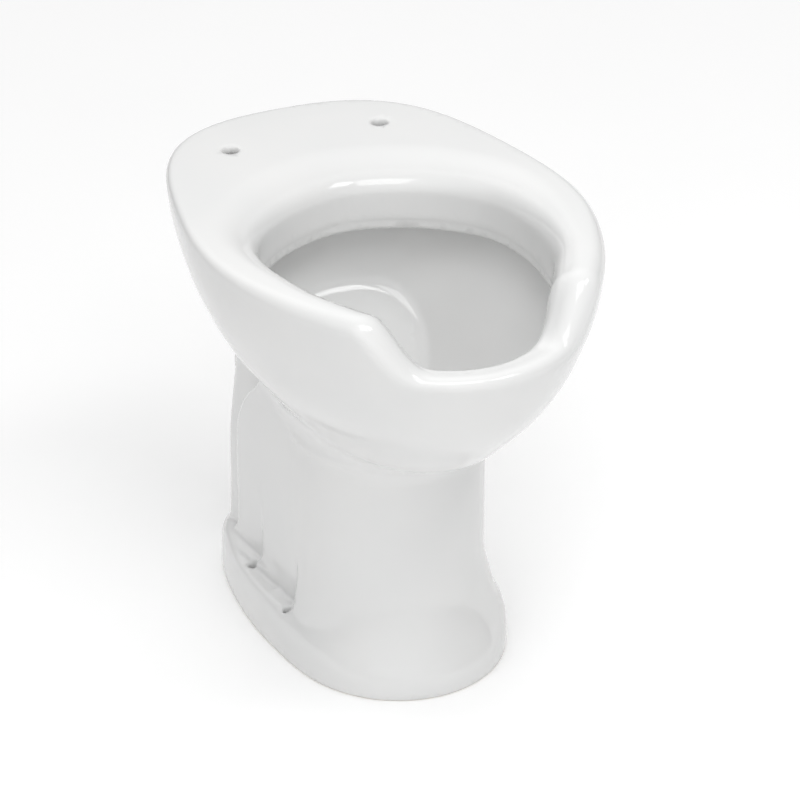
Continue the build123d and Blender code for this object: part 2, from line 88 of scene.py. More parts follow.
# z, half width, front y, rear y
BOWL = [
    (470.0, 185.0, -260.0, 260.0), (455.0, 185.0, -260.0, 260.0),
    (440.0, 185.0, -259.5, 259.0), (424.0, 184.6, -256.0, 252.5), (400.0, 180.3, -251.0, 242.5),
    (370.0, 169.3, -241.0, 227.5), (340.0, 154.0, -228.5, 210.5), (310.0, 132.4, -208.8, 198.0),
    (285.0, 113.4, -184.5, 187.0), (265.0, 99.7, -163.5, 176.5), (252.0, 90.5, -145.0, 168.0),
    (243.0, 82.5, -124.0, 160.0), (235.0, 73.0, -98.0, 149.0), (227.0, 60.0, -70.0, 132.0),
    (217.0, 44.0, -48.0, 108.0), (204.0, 30.0, -35.0, 90.0), (-20.0, 30.0, -35.0, 90.0),
]
BASIN = [
    (400.0, 151.0, -229.0, 129.0), (386.0, 150.5, -228.0, 129.0), (368.0, 149.5, -221.5, 128.5),
    (349.0, 144.5, -213.5, 127.0), (332.0, 134.5, -204.5, 124.0), (315.0, 122.0, -193.0, 119.5),
    (295.0, 106.0, -174.0, 113.0), (278.0, 92.0, -152.0, 106.0), (265.0, 79.0, -128.0, 96.0),
    (256.0, 67.0, -102.0, 84.0), (246.0, 50.0, -74.0, 62.0), (236.0, 31.0, -48.0, 36.0),
    (228.0, 12.0, -30.0, 12.0), (-20.0, 6.0, -18.0, -6.0),
]
# share of the way from the column out to the base, by z: along the sides,
# at the front corners and across the front
FLANGE = [
    (-10.0, 0.98), (0.0, 0.985), (10.0, 1.0), (26.0, 0.99), (36.0, 0.955), (42.0, 0.87), (45.3, 0.74),
    (47.2, 0.55), (48.7, 0.34), (50.2, 0.20), (52.5, 0.12), (56.5, 0.065), (63.0, 0.03), (75.0, 0.01),
    (90.0, 0.0), (470.0, 0.0),
]
CORNER = [
    (-10.0, 0.975), (0.0, 0.985), (10.0, 1.01), (20.0, 1.01), (30.0, 0.97), (36.0, 0.90), (41.0, 0.79),
    (46.0, 0.64), (52.0, 0.51), (60.0, 0.39), (72.0, 0.25), (84.0, 0.10), (94.0, 0.02), (104.0, 0.0), (470.0, 0.0),
]
FLARE = [
    (-10.0, 0.975), (0.0, 0.985), (9.0, 1.02), (20.0, 1.01), (34.0, 0.80), (50.0, 0.52), (66.0, 0.28),
    (84.0, 0.09), (105.0, 0.0), (130.0, 0.0), (470.0, 0.0),
]
ROOM = [(-10.0, 0.98), (0.0, 0.98), (12.0, 0.95), (24.0, 0.75), (34.0, 0.38), (44.0, 0.1), (56.0, 0.0), (470.0, 0.0)]
CASE = [(-10.0, 88.0), (40.0, 86.0), (90.0, 84.0), (130.0, 84.0), (190.0, 79.0), (240.0, 72.0), (300.0, 64.0), (470.0, 60.0)]


def gauss(values, sigma, step, wrap=False):
    n = max(1, int(4 * sigma / step))
    k = np.exp(-0.5 * (np.arange(-n, n + 1) * step / sigma) ** 2)
    k /= k.sum()
    if wrap:
        padded = np.concatenate([values[-n:], values, values[:n]])
    else:
        head = values[0] - (values[1] - values[0]) * np.arange(n, 0, -1)
        tail = values[-1] + (values[-1] - values[-2]) * np.arange(1, n + 1)
        padded = np.concatenate([head, values, tail])
    return np.convolve(padded, k, mode="valid")


def profile(rows, column, sigma, at):
    """A table's column as a smooth curve of z."""
    rows = sorted(rows)
    zs = np.array([r[0] for r in rows], float)
    vs = np.array([r[column] for r in rows], float)
    h, d = np.diff(zs), np.diff(vs) / np.diff(zs)
    m = np.zeros(len(zs))
    m[0], m[-1] = d[0], d[-1]
    for i in range(1, len(zs) - 1):
        if d[i - 1] * d[i] > 0:
            w1, w2 = 2 * h[i] + h[i - 1], h[i] + 2 * h[i - 1]
            m[i] = (w1 + w2) / (w1 / d[i - 1] + w2 / d[i])
    q = np.arange(zs[0], zs[-1] + 0.5, 1.0)
    i = np.clip(np.searchsorted(zs, q, side="right") - 1, 0, len(h) - 1)
    t = (q - zs[i]) / h[i]
    v = ((2 * t**3 - 3 * t**2 + 1) * vs[i] + (t**3 - 2 * t**2 + t) * h[i] * m[i]
         + (-2 * t**3 + 3 * t**2) * vs[i + 1] + (t**3 - t**2) * h[i] * m[i + 1])
    return np.interp(at, q, gauss(v, sigma, 1.0)).astype(np.float32)


def ring(half, sigma, n=720):
    """A half outline as a closed smooth ring of n points, rear centre first."""
    pts = list(half) + [(-x, y) for x, y in half[-2:0:-1]]
    m = len(pts)
    dense = []
    for i in range(m):
        p = [np.array(pts[(i + k - 1) % m], float) for k in range(4)]
        t = np.linspace(0, 1, 24, endpoint=False)[:, None]
        dense.append(0.5 * (2 * p[1] + (p[2] - p[0]) * t + (2 * p[0] - 5 * p[1] + 4 * p[2] - p[3]) * t**2
                            + (3 * p[1] - p[0] - 3 * p[2] + p[3]) * t**3))
    dense = np.concatenate(dense)
    dense = np.concatenate([dense, dense[:1]])
    run = np.concatenate([[0], np.cumsum(np.hypot(*np.diff(dense, axis=0).T))])
    at = run[-1] * np.arange(n) / n
    out = np.stack([np.interp(at, run, dense[:, 0]), np.interp(at, run, dense[:, 1])], 1)
    step = run[-1] / n
    out = np.stack([gauss(out[:, c], sigma, step, wrap=True) for c in (0, 1)], 1)
    mirror = out[(-np.arange(n)) % n] * [-1, 1]
    return (out + mirror) / 2


def polar(points, centre=(0.0, 0.0), scale=(1.0, 1.0), n=1440):
    """Angle table (0 at the rear, pi at the front) to radius, of a ring."""
    px, py = (points[:, 0] - centre[0]) / scale[0], (points[:, 1] - centre[1]) / scale[1]
    a, r = np.arctan2(px, py), np.hypot(px, py)
    order = np.argsort(a)
    a, r = a[order], r[order]
    a = np.concatenate([a - 2 * math.pi, a, a + 2 * math.pi])
    r = np.concatenate([r, r, r])
    q = np.linspace(0, math.pi, n)
    return q, np.interp(q, a, r)


def flat_distance(points, ax, ay):
    """Signed distance to a closed outline on a plane, negative inside."""
    px, py = np.meshgrid(ax.astype(np.float64), ay.astype(np.float64), indexing="ij")
    best = np.full(px.shape, 1e9)
    inside = np.zeros(px.shape, bool)
    m = len(points)
    for i in range(m):
        (x0, y0), (x1, y1) = points[i], points[(i + 1) % m]
        dx, dy = x1 - x0, y1 - y0
        wx, wy = px - x0, py - y0
        t = np.clip((wx * dx + wy * dy) / max(dx * dx + dy * dy, 1e-12), 0, 1)
        best = np.minimum(best, (wx - t * dx) ** 2 + (wy - t * dy) ** 2)
        if y0 != y1:
            cross = ((y0 > py) != (y1 > py)) & (px < x0 + (py - y0) * dx / (y1 - y0))
            inside ^= cross
    best = np.sqrt(best)
    return np.where(inside, -best, best).astype(np.float32)


def line_distance(points, ax, ay):
    px, py = np.meshgrid(ax.astype(np.float64), ay.astype(np.float64), indexing="ij")
    best = np.full(px.shape, 1e9)
    for (x0, y0), (x1, y1) in zip(points[:-1], points[1:]):
        dx, dy = x1 - x0, y1 - y0
        t = np.clip(((px - x0) * dx + (py - y0) * dy) / (dx * dx + dy * dy), 0, 1)
        best = np.minimum(best, (px - x0 - t * dx) ** 2 + (py - y0 - t * dy) ** 2)
    return np.sqrt(best).astype(np.float32)


def slopes(f):
    """The three gradients of an even field on the half grid."""
    wide = np.concatenate([f[1:2], f], axis=0)
    g0 = np.gradient(wide, H, axis=0)[1:]
    return g0, np.gradient(f, H, axis=1), np.gradient(f, H, axis=2)


def unit(f):
    g = slopes(f)
    length = np.sqrt(g[0] ** 2 + g[1] ** 2 + g[2] ** 2)
    return f / np.maximum(length, 1e-4)


def join(a, b, r):
    """Union with a fillet of radius r in the corner."""
    u, v = np.maximum(r - a, 0), np.maximum(r - b, 0)
    return np.maximum(r, np.minimum(a, b)) - np.sqrt(u * u + v * v)


def both(a, b, r):
    """What is in both, with the edge rounded to radius r."""
    u, v = np.maximum(r + a, 0), np.maximum(r + b, 0)
    return np.minimum(-r, np.maximum(a, b)) + np.sqrt(u * u + v * v)


def cut(a, b, r):
    """a less b, with the edge rounded."""
    return both(a, -b, r)


def ease(a, b, ra, rb):
    """What is in both, with the edge rounded to an ellipse ra under a and rb behind b."""
    u, v = np.maximum(1 + a / ra, 0), np.maximum(1 + b / rb, 0)
    far = np.sqrt(u * u + v * v)
    curve = (far - 1) * far / np.maximum(np.sqrt((u / ra) ** 2 + (v / rb) ** 2), 1e-6)
    return np.maximum(np.where((u > 0) & (v > 0), curve, -1e3), np.maximum(a, b)).astype(np.float32)


def smooth_step(t):
    t = np.clip(t, 0, 1)
    return t * t * t * (t * (6 * t - 15) + 10)


def bag(rows, sigma, blur=0.0):
    """Field of the deck outline scaled by a table of half width, front and rear."""
    w, f, b = (profile(rows, c, sigma, gz) for c in (1, 2, 3))
    mid, half = (f + b) / 2, (b - f) / 2
    u = X / w[None, None, :]
    v = (Y - mid[None, None, :]) / half[None, None, :]
    q, r = DECK_POLAR
    if blur:
        r = gauss(np.concatenate([r[::-1], r, r[::-1]]), math.radians(blur), q[1])[len(r):2 * len(r)]
    rho = np.hypot(u, v) / np.interp(np.arctan2(u, v), q, r).astype(np.float32)
    return unit((rho - 1).astype(np.float32))


deck_ring = ring(DECK, 7.0)
DECK_POLAR = polar(deck_ring, scale=(185.0, 260.0))
open_ring = ring(OPENING, 5.0)
base_ring = ring(BASE, 5.0)
column_ring = ring(COLUMN, 5.0)

# --- top of the pan: deck, lip and the two steps -------------------
x2, y2 = gx[:, None], gy[None, :]
angle = np.degrees(np.arctan2(x2, -(y2 - STEP_CY)))
radius = np.hypot(x2, y2 - STEP_CY)
foot_at = 25.0 + 5.5 * smooth_step((radius - 112.0) / 36.0)
climb = smooth_step((angle - foot_at) / (58.5 - foot_at))
height = LIP_Z + (TOP - LIP_Z) * climb
wide = np.concatenate([height[1:2], height], axis=0)
lean = np.sqrt(1 + np.gradient(wide, H, axis=0)[1:] ** 2 + np.gradient(height, H, axis=1) ** 2)
f_top = ((Z - height[:, :, None]) / lean[:, :, None]).astype(np.float32)

d_open = flat_distance(open_ring, gx, gy)[:, :, None]
hole = np.maximum(d_open, 380.0 - Z)
f_bowl = bag(BOWL, 6.0)
climb = climb[:, :, None].astype(np.float32)
# how far back the rim rolls over into the bowl, by the angle from the rear
turned = np.degrees(np.arctan2(x2, y2 + 60.0))
deep = gauss(np.interp(np.arange(0.0, 181.0), [0, 30, 60, 100, 130, 150, 180], [54, 52, 41, 21, 25, 33, 34]), 8.0, 1.0)
back_off = np.interp(turned, np.arange(0.0, 181.0), deep).astype(np.float32)[:, :, None]
roll = ease(f_top, -hole, 13.0 + 16.0 * climb, back_off)
# the outer edge: tight round the rear deck, broad along the sides
broad = gauss(np.interp(np.arange(0.0, 181.0), [0, 50, 85, 115, 150, 180], [7, 7.5, 10, 15, 17, 14]), 8.0, 1.0)
broad = np.interp(turned, np.arange(0.0, 181.0), broad).astype(np.float32)[:, :, None]
f_skin = both(f_bowl, roll, 12.0 + (broad - 12.0) * climb)

# --- pedestal -------------------------------------------------------
qc, rc = polar(column_ring, centre=(0.0, 45.0))
qb, rb = polar(base_ring, centre=(0.0, 45.0))
ang2 = np.arctan2(x2, y2 - 45.0)
rad2 = np.hypot(x2, y2 - 45.0)
rc2 = np.interp(ang2, qc, rc)
rb2 = np.interp(ang2, qb, rb)
# the flange humps a little at the rear pair of fixing holes
rise = gauss(np.interp(gy, [-40.0, 5.0, 60.0, 95.0, 115.0, 150.0, 185.0], [-1.5, 0.0, 4.0, 5.5, 5.0, 2.5, 0.0]), 10.0, H)
lower = gz[None, :] - rise[:, None] * np.clip(gz / 45.0, 0, 1)[None, :]
k_side = profile(FLANGE, 1, 1.2, lower)[None, :, :]
k_corner = profile(CORNER, 1, 2.2, gz)[None, None, :]
k_front = profile(FLARE, 1, 3.5, gz)[None, None, :]
to_corner = smooth_step((np.degrees(ang2) - 100.0) / 27.0).astype(np.float32)[:, :, None]
to_front = smooth_step((np.degrees(ang2) - 132.0) / 28.0).astype(np.float32)[:, :, None]
k = k_side + (k_corner - k_side) * to_corner
k = k + (k_front - k) * to_front
f_ped = unit((rad2[:, :, None] - rc2[:, :, None] - (rb2 - rc2)[:, :, None] * k).astype(np.float32))

ARCH = [(84, 262), (100, 241), (117, 227), (132, 211), (144, 192), (152, 170), (157, 140), (160, 100),
        (160, 90), (250, 90), (250, 300), (84, 300)]
d_arch = flat_distance(ARCH, gy, gz)[None, :, :]
case_half = profile(CASE, 1, 6.0, gz)[None, None, :]
qx, qy = X - (case_half - 24.0), Y - (208.0 - 24.0)
f_case = np.minimum(np.maximum(qx, qy), 0) + np.hypot(np.maximum(qx, 0), np.maximum(qy, 0)) - 24.0
f_case = np.maximum(f_case, 40.0 - Y)

f_stand = join(cut(f_ped, d_arch, 4.0), f_case, 3.0)
f_stand = np.maximum(f_stand, Z - 275.0)


def rod(radius, a, b):
    """Field of an endless round bar through two points."""
    a, b = np.array(a, float), np.array(b, float)
    n = (b - a) / np.linalg.norm(b - a)
    px, py, pz = X - a[0], Y - a[1], Z - a[2]
    t = px * n[0] + py * n[1] + pz * n[2]
    return (np.sqrt(np.maximum((px - t * n[0]) ** 2 + (py - t * n[1]) ** 2 + (pz - t * n[2]) ** 2, 0)) - radius).astype(np.float32)


soft = smooth_step((np.degrees(ang2) - 105.0) / 55.0).astype(np.float32)[:, :, None]
f_outer = join(f_skin, f_stand, 13.0 + 9.0 * soft)
foot_room = np.maximum(f_outer, Z - 130.0)
scoops = None
posts = None
for fy, floor_z in ((92.0, 52.5), (5.0, 47.5)):
    # a trough down the wall: upright edge in front, running out to the rear
    edge = fy - 5.0
    s = (88.6 + 0.070 * (Z - 48.0) + 0.13 * (Y - edge) - X) / 1.01
    s = both(s, edge - Y, 4.0)
    s = both(s, floor_z - Z, 3.0)
    s = np.maximum(s, Z - 140.0)
    scoops = s if scoops is None else np.minimum(scoops, s)
    p = np.minimum(rod(12.0, (102.0, fy, 0.0), (102.0, fy, 52.0)), rod(20.0, (98.0, fy, 40.0), (105.5, fy, 122.0)))
    posts = p if posts is None else np.minimum(posts, p)
posts = np.maximum(posts, Z - 128.0)
f_outer = cut(f_outer, scoops, 1.8)
f_outer = both(f_outer, -Z, 1.0)

# --- hollows --------------------------------------------------------
shell_room = np.maximum(np.maximum(f_bowl + WALL, f_top + DECK_T), np.where(Z > RIM_BOTTOM, roll + 8.5, -99.0))
k_room = profile(ROOM, 1, 3.0, gz)[None, None, :]
f_room = unit((rad2[:, :, None] - rc2[:, :, None] - (rb2 - rc2)[:, :, None] * k_room).astype(np.float32))
stand_room = np.minimum(np.maximum(f_room + 10.0, 9.0 - d_arch), f_case + WALL)
hollow = join(shell_room, np.maximum(stand_room, Z - 300.0), 4.0)
hollow = np.maximum(hollow, Z - 445.0)
pan = cut(f_outer, hollow, 3.0)
pan = np.minimum(pan, np.maximum(posts, f_outer))

wall = np.maximum(both(np.abs(d_open - 4.5) - 4.5, RIM_BOTTOM - Z, 4.3), f_skin)
pan = join(pan, wall, 4.0)
floor_in = np.maximum(np.abs(Z - (RIM_BOTTOM + 4.0)) - 4.0, np.maximum(d_open - 57.0, 4.5 - d_open))
floor_in = np.maximum(floor_in, f_skin + 4.0)
pan = join(pan, floor_in, 3.0)
back_wall = np.maximum(np.abs(d_open - 52.5) - 4.5, np.maximum(RIM_BOTTOM - Z, Z - 445.0))
back_wall = np.maximum(np.maximum(back_wall, f_skin + 4.0), -Y)
pan = join(pan, back_wall, 4.0)

# --- basin, with the sloping facet at the rear and the sump -------
f_bag = bag(BASIN, 6.0, 7.0)
slope = math.atan2(48.0, 63.0)
facet = -((Z - 262.0) * math.cos(slope) - (Y - 47.0) * math.sin(slope))
sump_r = 36.0 + 9.0 * smooth_step((Z - 175.0) / 90.0)
sump = np.hypot(X, (Y + 13.0) / 1.12) - sump_r
sump = np.maximum(sump, Z - 300.0)
f_cave = join(both(f_bag, facet, 4.5), sump, 9.0)
cave = np.maximum(both(f_cave, Z - RIM_BOTTOM, 5.0), 172.0 - Z)
vessel = np.maximum(np.maximum(f_cave - WALL, Z - RIM_BOTTOM - 2.0), 168.0 - Z)
pan = join(pan, vessel, 3.0)

# --- trap, outlet and inlet ----------------------------------------
BEND, LEG_Y, CREST_Z, OUT_Z, LOW_Z, SUMP_Y = 48.0, 84.0, 195.0, 185.0, 100.0, -12.0
drop = math.acos((OUT_Z - CREST_Z + BEND) / (2 * BEND))


def arc(cy, cz, a0, a1, n=24):
    a = np.radians(np.linspace(a0, a1, n))
    return [(cy + BEND * math.cos(t), cz + BEND * math.sin(t)) for t in a]


crest_end = 90 - math.degrees(drop)
path = [(SUMP_Y, 200.0)] + arc(SUMP_Y + BEND, LOW_Z + BEND, 180, 270) + arc(LEG_Y - BEND, LOW_Z + BEND, 270, 360)
path += arc(LEG_Y + BEND, CREST_Z, 180, crest_end)
path += arc(LEG_Y + BEND + 2 * BEND * math.sin(drop), OUT_Z + BEND, crest_end + 180, 270)
path += [(270.0, OUT_Z)]
clean = [path[0]]
for p in path[1:]:
    if math.dist(p, clean[-1]) > 0.05:
        clean.append(p)
d_path = line_distance(clean, gy, gz)[None, :, :]
d_tube = np.sqrt(X * X + d_path * d_path)
tube = np.maximum(np.maximum(d_tube - 44.0, Y - 224.0), np.where(Y < 20.0, Z - 172.0, -50.0))
pan = join(pan, tube, 4.0)
out_r = np.hypot(X, Z - OUT_Z)
spigot = both(both(out_r - 51.0, Y - 255.5, 2.0), 220.0 - Y, 2.0)
for gy_at in (233.0, 240.0, 247.0):
    spigot = np.maximum(spigot, np.where(np.abs(Y - gy_at) < 1.4, out_r - 50.2, -99.0))
pan = join(pan, spigot, 3.0)
neck = np.maximum(np.hypot(X, Z - 417.0) - 23.0, np.maximum(150.0 - Y, Y - 204.0))
socket = both(np.hypot(X, Z - 407.5) - 32.5, np.maximum(Y - 246.0, 194.0 - Y), 2.0)
pan = join(pan, join(neck, socket, 4.0), 3.0)

# --- what is taken out ---------------------------------------------
pan = cut(pan, cave, 0.8)
# the opening runs clear through into the basin
pan = np.maximum(pan, -np.maximum(d_open, np.abs(Z - RIM_BOTTOM - 2.0) - 8.0))
bore = np.maximum(d_tube - 36.0, Y - 227.0)
bore = np.maximum(bore, np.where(Y < 20.0, Z - 190.0, -50.0))
bore = np.minimum(bore, np.maximum(out_r - 42.0, 226.0 - Y))
pan = cut(pan, bore, 0.8)
pan = cut(pan, np.maximum(np.hypot(X, Z - 417.0) - 17.0, np.maximum(135.0 - Y, Y - 203.0)), 0.8)
pan = cut(pan, np.maximum(np.hypot(X, Z - 407.5) - 27.5, 200.0 - Y), 0.8)
pan = cut(pan, np.maximum(np.hypot(X - 77.5, Y - 184.0) - 8.0, 432.0 - Z), 1.6)
fix = np.minimum(np.hypot(X - 102.0, Y - 92.0), np.hypot(X - 102.0, Y - 5.0)) - 4.5
pan = cut(pan, np.maximum(fix, Z - 75.0), 0.9)
mouth = np.maximum(np.maximum(X - 58.0, 120.0 - Y), Z - 320.0)
WINDOW = [(58, 200), (58, 300), (66, 335), (92, 372), (98, 404), (91, 430), (74, 440),
          (-74, 440), (-91, 430), (-98, 404), (-92, 372), (-66, 335), (-58, 300), (-58, 200)]
window = np.maximum(flat_distance(WINDOW, gx, gz)[:, None, :], 150.0 - Y)
inner_parts = np.minimum(np.minimum(np.minimum(tube, spigot), np.minimum(neck, socket)),
                         np.minimum(np.minimum(vessel, back_wall), floor_in))
gap = np.maximum(np.minimum(mouth, window), 1.5 - inner_parts)
pan = cut(pan, gap, 2.5)

# --- the web that carries the trap ----------------------------------
web = np.maximum(np.abs(Y - 36.0) - 6.0, np.maximum(32.0 - Z, Z - 96.0))
web = np.maximum(np.maximum(web, f_ped + 5.0), -(d_tube - 42.0))
pan = join(pan, web, 3.0)
pan = np.maximum(pan, -(bore))

# ------------------------------------------------------------------
# Mesh
# ------------------------------------------------------------------
reach = 3.0 * H
half = np.clip(pan, -reach, reach).astype(np.float32)
full = np.concatenate([half[:0:-1], half], axis=0)
grid = openvdb.FloatGrid(reach)
grid.copyFromArray(full)
points, quads = grid.convertToQuads(isovalue=0.0)
points = np.array(points, np.float64) * H
points += [-(len(gx) - 1) * H, gy[0], gz[0]]
quads = np.array(quads)
print("skin", len(points), "points", len(quads), "faces")

def evened(g, odd):
    """A slope averaged lightly over its neighbours."""
    for axis in range(3):
        before = np.roll(g, 1, axis)
        after = np.roll(g, -1, axis)
        if axis == 0:
            before[0] = -g[1] if odd else g[1]
        g = 0.25 * before + 0.5 * g + 0.25 * after
    return g.astype(np.float32)


gradient = [evened(g, n == 0) for n, g in enumerate(slopes(pan))]


def sample(field, p):
    """Value of a half-grid field at points, between its cells."""
    q = np.stack([np.abs(p[:, 0]) / H, (p[:, 1] - gy[0]) / H, (p[:, 2] - gz[0]) / H], 1)
    i = np.clip(np.floor(q).astype(int), 0, np.array(field.shape) - 2)
    t = q - i
    out = np.zeros(len(p))
    for c in range(8):
        o = np.array([c & 1, (c >> 1) & 1, (c >> 2) & 1])
        w = np.prod(np.where(o, t, 1 - t), axis=1)
        j = i + o
        out += w * field[j[:, 0], j[:, 1], j[:, 2]]
    return out


def settle(p, rounds):
    """Moves points onto the surface, and gives the outward directions."""
    side = np.sign(p[:, 0])
    for step in range(rounds + 1):
        g = np.stack([sample(c, p) for c in gradient], 1)
        g[:, 0] *= side
        size2 = np.maximum((g * g).sum(1), 1e-3)
        if step < rounds:
            move = g * (sample(pan, p) / size2)[:, None]
            length = np.linalg.norm(move, axis=1)
            p = p - move * np.minimum(1.0, 0.8 / np.maximum(length, 1e-9))[:, None]
    return p, g / np.sqrt(size2)[:, None]


def mesh_object(name, points, faces):
    mesh = bpy.data.meshes.new(name)
    faces = np.asarray(faces)
    n, m = faces.shape
    mesh.vertices.add(len(points))
    mesh.vertices.foreach_set("co", np.asarray(points, np.float32).ravel())
    mesh.loops.add(n * m)
    mesh.loops.foreach_set("vertex_index", faces.astype(np.int32).ravel())
    mesh.polygons.add(n)
    mesh.polygons.foreach_set("loop_start", (np.arange(n) * m).astype(np.int32))
    mesh.update(calc_edges=True)
    mesh.validate()
    obj = bpy.data.objects.new(name, mesh)
    bpy.context.scene.collection.objects.link(obj)
    return obj


def to_row(p):
    return (p + [0.0, SHIFT_Y, 0.0]) / 1000.0


# a faint ripple keeps the thinned triangles even on flat ground; settle() takes it out again
ripple = np.random.default_rng(5).standard_normal(points.shape) * 0.04
skin = mesh_object("glazed_pan", to_row(points + ripple), quads)
fewer = skin.modifiers.new("fewer", "DECIMATE")
fewer.ratio = min(1.0, 190000 / (2.0 * len(quads)))
dg = bpy.context.evaluated_depsgraph_get()
done = bpy.data.meshes.new_from_object(skin.evaluated_get(dg))
skin.modifiers.clear()
skin.data = done
n = len(done.vertices)
co = np.empty(n * 3, np.float32)
done.vertices.foreach_get("co", co)
co = co.reshape(-1, 3).astype(np.float64) * 1000.0 - [0.0, SHIFT_Y, 0.0]
co, normals = settle(co, 2)
done.vertices.foreach_set("co", to_row(co).astype(np.float32).ravel())
done.update()
done.polygons.foreach_set("use_smooth", np.ones(len(done.polygons), bool))
done.normals_split_custom_set_from_vertices(normals.astype(np.float32))
print("skin after", n, "points", len(done.polygons), "faces")
del gradient

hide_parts(*[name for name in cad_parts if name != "inlet_seal"])
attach(skin, "root")


# ------------------------------------------------------------------
# Materials
# ------------------------------------------------------------------
def new_material(name):
    m = bpy.data.materials.new(name)
    m.use_nodes = True
    return m, m.node_tree.nodes, m.node_tree.links, m.node_tree.nodes["Principled BSDF"]


def noise(nodes, links, coord, scale, detail=3.0):
    t = nodes.new("ShaderNodeTexNoise")
    t.inputs["Scale"].default_value = scale
    t.inputs["Detail"].default_value = detail
    links.new(coord, t.inputs["Vector"])
    return t


def ramp(nodes, links, value, stops):
    r = nodes.new("ShaderNodeValToRGB")
    r.color_ramp.elements[0].position, r.color_ramp.elements[0].color = stops[0][0], (*stops[0][1], 1)
    r.color_ramp.elements[1].position, r.color_ramp.elements[1].color = stops[-1][0], (*stops[-1][1], 1)
    for pos, col in stops[1:-1]:
        e = r.color_ramp.elements.new(pos)
        e.color = (*col, 1)
    links.new(value, r.inputs["Fac"])
    return r


def glaze():
    m, nodes, links, bsdf = new_material("white_glaze")
    coord = nodes.new("ShaderNodeTexCoord").outputs["Object"]
    tone = noise(nodes, links, coord, 9.0, 2.0)
    fine = noise(nodes, links, coord, 900.0, 2.0)
    peel = noise(nodes, links, coord, 140.0, 3.0)
    colour = ramp(nodes, links, tone.outputs["Fac"], [(0.35, (0.735, 0.738, 0.735)), (0.65, (0.755, 0.755, 0.75))])
    # bare fired clay where the foot stands on the floor
    split = nodes.new("ShaderNodeSeparateXYZ")
    links.new(coord, split.inputs[0])
    bare = nodes.new("ShaderNodeMapRange")
    bare.inputs["From Min"].default_value = 0.0012
    bare.inputs["From Max"].default_value = 0.0003
    links.new(split.outputs["Z"], bare.inputs["Value"])
    clay = ramp(nodes, links, fine.outputs["Fac"], [(0.3, (0.62, 0.58, 0.51)), (0.7, (0.74, 0.70, 0.62))])
    mix = nodes.new("ShaderNodeMix")
    mix.data_type = "RGBA"
    links.new(bare.outputs["Result"], mix.inputs["Factor"])
    links.new(colour.outputs["Color"], mix.inputs["A"])
    links.new(clay.outputs["Color"], mix.inputs["B"])
    links.new(mix.outputs["Result"], bsdf.inputs["Base Color"])
    sheen = nodes.new("ShaderNodeMapRange")
    sheen.inputs["From Min"].default_value, sheen.inputs["From Max"].default_value = 0.3, 0.7
    sheen.inputs["To Min"].default_value, sheen.inputs["To Max"].default_value = 0.05, 0.085
    links.new(peel.outputs["Fac"], sheen.inputs["Value"])
    rough = nodes.new("ShaderNodeMix")
    links.new(bare.outputs["Result"], rough.inputs["Factor"])
    links.new(sheen.outputs["Result"], rough.inputs["A"])
    rough.inputs["B"].default_value = 0.85
    links.new(rough.outputs["Result"], bsdf.inputs["Roughness"])
    bump = nodes.new("ShaderNodeBump")
    bump.inputs["Strength"].default_value = 0.06
    bump.inputs["Distance"].default_value = 0.0003
    links.new(peel.outputs["Fac"], bump.inputs["Height"])
    links.new(bump.outputs["Normal"], bsdf.inputs["Normal"])
    bsdf.inputs["IOR"].default_value = 1.5
    return m


def rubber():
    m, nodes, links, bsdf = new_material("black_rubber")
    coord = nodes.new("ShaderNodeTexCoord").outputs["Object"]
    grain = noise(nodes, links, coord, 700.0, 4.0)
    colour = ramp(nodes, links, grain.outputs["Fac"], [(0.3, (0.018, 0.018, 0.019)), (0.7, (0.035, 0.035, 0.036))])
    links.new(colour.outputs["Color"], bsdf.inputs["Base Color"])
    rough = nodes.new("ShaderNodeMapRange")
    rough.inputs["To Min"].default_value, rough.inputs["To Max"].default_value = 0.5, 0.75
    links.new(grain.outputs["Fac"], rough.inputs["Value"])
    links.new(rough.outputs["Result"], bsdf.inputs["Roughness"])
    bump = nodes.new("ShaderNodeBump")
    bump.inputs["Strength"].default_value = 0.25
    bump.inputs["Distance"].default_value = 0.0002
    links.new(grain.outputs["Fac"], bump.inputs["Height"])
    links.new(bump.outputs["Normal"], bsdf.inputs["Normal"])
    return m


skin.data.materials.clear()
skin.data.materials.append(glaze())
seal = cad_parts["inlet_seal"]
black = rubber()
for s in seal.material_slots:
    s.material = black

# ------------------------------------------------------------------
# Floor, lights, camera
# ------------------------------------------------------------------
scene = bpy.context.scene
scene.view_settings.view_transform = "Standard"
AMBIENT, WINDOW_GLOW, FLOOR_GLOW = 0.0, 7.6, 0.07
# soft studio light as broad glows: azimuth from the front toward +X,
# elevation, sharpness, strength
LOBES = [
    (180, 45, 6.0, 1.50), (225, 45, 6.0, 0.30), (315, 45, 6.0, 1.35), (90, 45, 6.0, 0.45), (0, 90, 6.0, 0.40),
    (0, 8, 6.0, 0.95), (315, 8, 6.0, 0.35), (90, 8, 6.0, 0.10), (135, 8, 6.0, 0.45),
]


def floor_material():
    m, nodes, links, bsdf = new_material("pale_floor")
    coord = nodes.new("ShaderNodeTexCoord").outputs["Object"]
    t = noise(nodes, links, coord, 3.0, 2.0)
    c = ramp(nodes, links, t.outputs["Fac"], [(0.3, (0.97, 0.97, 0.97)), (0.7, (0.98, 0.98, 0.98))])
    links.new(c.outputs["Color"], bsdf.inputs["Base Color"])
    bsdf.inputs["Roughness"].default_value = 0.9
    bsdf.inputs["Specular IOR Level"].default_value = 0.1
    bsdf.inputs["Emission Color"].default_value = (1.0, 1.0, 1.0, 1.0)
    bsdf.inputs["Emission Strength"].default_value = FLOOR_GLOW
    return m


floor = mesh_object("floor", [(-6, -6, -0.0002), (6, -6, -0.0002), (6, 6, -0.0002), (-6, 6, -0.0002)], [[0, 1, 2, 3]])
floor.data.materials.append(floor_material())

